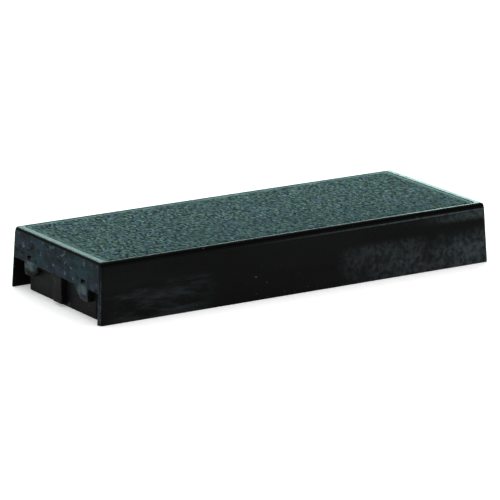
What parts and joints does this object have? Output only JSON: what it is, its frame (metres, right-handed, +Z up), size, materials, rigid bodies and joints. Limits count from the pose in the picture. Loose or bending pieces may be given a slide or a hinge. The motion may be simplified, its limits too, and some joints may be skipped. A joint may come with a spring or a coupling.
{
  "type": "ink pad",
  "caption": "Slide-in ink pad cartridge: a black moulded housing with notched ends, a clip-in carrier, an inked felt and a dark speckled stamping face.",
  "frame": {"origin": "middle of the base, on the plane it stands on", "axes": "+X along the cartridge's length, +Z up, out of the ink face"},
  "size_m": [0.08, 0.0312, 0.0109],
  "materials": {
    "housing_plastic": "glossy moulded black",
    "carrier_plastic": "semi-gloss moulded black",
    "inked_felt": "ink-soaked felt",
    "stamping_cloth": "fine speckled cloth, wet with black ink"
  },
  "bodies": {
    "cartridge": {"housing": "housing_plastic", "carrier": "carrier_plastic", "ink_felt": "inked_felt"},
    "ink_face": {"pad_face": "stamping_cloth"}
  },
  "joints": [
    {"name": "pad_press", "type": "slide", "parent": "cartridge", "child": "ink_face", "axis": [0, 0, -1], "range_m": [0, 0.0006], "stiffness_N_per_m": 8000, "deforming": ["ink_felt"]}
  ]
}
